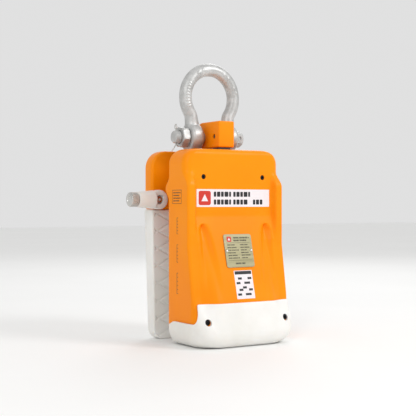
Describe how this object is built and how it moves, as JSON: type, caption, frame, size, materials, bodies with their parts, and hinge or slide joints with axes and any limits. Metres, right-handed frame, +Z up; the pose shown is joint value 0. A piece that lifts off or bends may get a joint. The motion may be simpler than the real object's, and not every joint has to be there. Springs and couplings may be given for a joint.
{
  "type": "vertical slab lifting clamp",
  "caption": "Vertical clamp that grips a stone slab: lifting on the bow shackle slides the moving jaw up and back against the fixed rear jaw.",
  "frame": {"origin": "centre of the bottom of the bounding box, on the surface the clamp stands on", "axes": "+X to the clamp's right, +Y from the front housing to the rear jaw, +Z up"},
  "size_m": [0.235, 0.1564, 0.3894],
  "materials": {
    "orange_paint": "gloss orange powder coat",
    "white_rubber": "satin off-white moulded rubber",
    "galvanised_steel": "hot-dip galvanised forging",
    "bright_steel": "bright zinc plate",
    "dark_steel": "blackened steel",
    "black_screw": "black oxide",
    "bronze": "turned bronze",
    "plate_metal": "khaki anodised plate"
  },
  "bodies": {
    "frame": {"bumper_screw_left": "black_screw", "bumper_screw_right": "black_screw", "cheek_left": "orange_paint", "cheek_right": "orange_paint", "front_bumper": "white_rubber", "front_housing": "orange_paint", "handle_bolt_left": "bright_steel", "handle_bolt_right": "bright_steel", "handle_knob_left": "bright_steel", "handle_knob_right": "bright_steel", "handle_sleeve_left": "white_rubber", "handle_sleeve_right": "white_rubber", "housing_screw_left": "black_screw", "housing_screw_right": "black_screw", "jaw_bolt_lower_left": "bright_steel", "jaw_bolt_lower_right": "bright_steel", "jaw_bolt_upper_left": "bright_steel", "jaw_bolt_upper_right": "bright_steel", "lower_crossbar": "dark_steel", "plate_rivet_left": "bright_steel", "plate_rivet_right": "bright_steel", "rating_plate": "plate_metal", "rear_jaw_plate": "orange_paint", "rear_rubber_boot": "white_rubber", "upper_tie_bar": "dark_steel"},
    "carriage": {"carriage_plate": "dark_steel", "carriage_screw_lower": "black_screw", "carriage_screw_upper": "black_screw", "lifting_lug": "orange_paint", "lifting_stem": "dark_steel", "lower_guide_shaft": "bright_steel", "lower_shaft_ring_left": "dark_steel", "lower_shaft_ring_right": "dark_steel", "lug_dowel": "dark_steel", "moving_pad": "white_rubber", "upper_guide_shaft": "bright_steel", "upper_shaft_ring_left": "dark_steel", "upper_shaft_ring_right": "dark_steel"},
    "shackle": {"shackle_bolt": "galvanised_steel", "shackle_bow": "galvanised_steel", "shackle_cotter": "bright_steel", "shackle_nut": "galvanised_steel"},
    "lower_roller_left": {"lower_roller_left": "bronze"},
    "lower_roller_right": {"lower_roller_right": "bronze"},
    "upper_roller_left": {"upper_roller_left": "bronze"},
    "upper_roller_right": {"upper_roller_right": "bronze"}
  },
  "joints": [
    {"name": "jaw_slide", "type": "slide", "parent": "frame", "child": "carriage", "axis": [0, 0.5446, 0.8387], "range_m": [0, 0.07344]},
    {"name": "shackle_swing", "type": "hinge", "parent": "carriage", "child": "shackle", "pos_m": [0, 0.027, 0.2835], "axis": [1, 0, 0], "range_deg": [-90, 90]},
    {"name": "lower_roller_left_spin", "type": "hinge", "parent": "carriage", "child": "lower_roller_left", "pos_m": [0, -0.057, 0.034], "axis": [1, 0, 0], "range_deg": [-1, 602]},
    {"name": "lower_roller_right_spin", "type": "hinge", "parent": "carriage", "child": "lower_roller_right", "pos_m": [0, -0.057, 0.034], "axis": [1, 0, 0], "range_deg": [-1, 602]},
    {"name": "upper_roller_left_spin", "type": "hinge", "parent": "carriage", "child": "upper_roller_left", "pos_m": [0, -0.005, 0.15], "axis": [1, 0, 0], "range_deg": [-1, 602]},
    {"name": "upper_roller_right_spin", "type": "hinge", "parent": "carriage", "child": "upper_roller_right", "pos_m": [0, -0.005, 0.15], "axis": [1, 0, 0], "range_deg": [-1, 602]}
  ],
  "couplings": [
    {"joint": "lower_roller_left_spin", "follows": "jaw_slide", "rad_per_m": 142.86},
    {"joint": "lower_roller_right_spin", "follows": "jaw_slide", "rad_per_m": 142.86},
    {"joint": "upper_roller_left_spin", "follows": "jaw_slide", "rad_per_m": 142.86},
    {"joint": "upper_roller_right_spin", "follows": "jaw_slide", "rad_per_m": 142.86}
  ]
}
